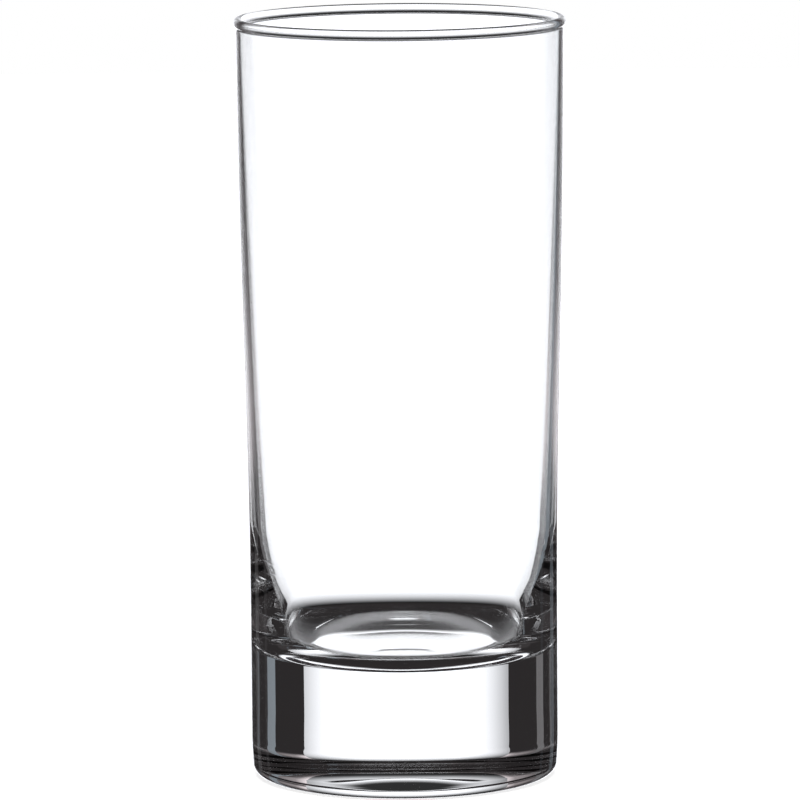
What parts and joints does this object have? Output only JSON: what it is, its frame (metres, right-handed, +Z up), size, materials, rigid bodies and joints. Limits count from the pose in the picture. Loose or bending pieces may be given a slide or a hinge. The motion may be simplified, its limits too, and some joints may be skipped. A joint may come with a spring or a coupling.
{
  "type": "drinking glass",
  "caption": "Slim round tumbler of clear glass with a beaded rim, a gently flared wall and a heavy solid base, for holding and drinking a long drink.",
  "frame": {"origin": "middle of the foot, on the table that the glass stands on", "axes": "+Z up along the glass's own axis, from the foot to the rim; the glass is round, so X and Y are alike"},
  "size_m": [0.0644, 0.0644, 0.1482],
  "materials": {
    "clear_glass": "clear, polished, colourless"
  },
  "bodies": {
    "root": {"rim_bead": "clear_glass", "side_wall": "clear_glass", "heavy_base": "clear_glass"}
  },
  "joints": []
}
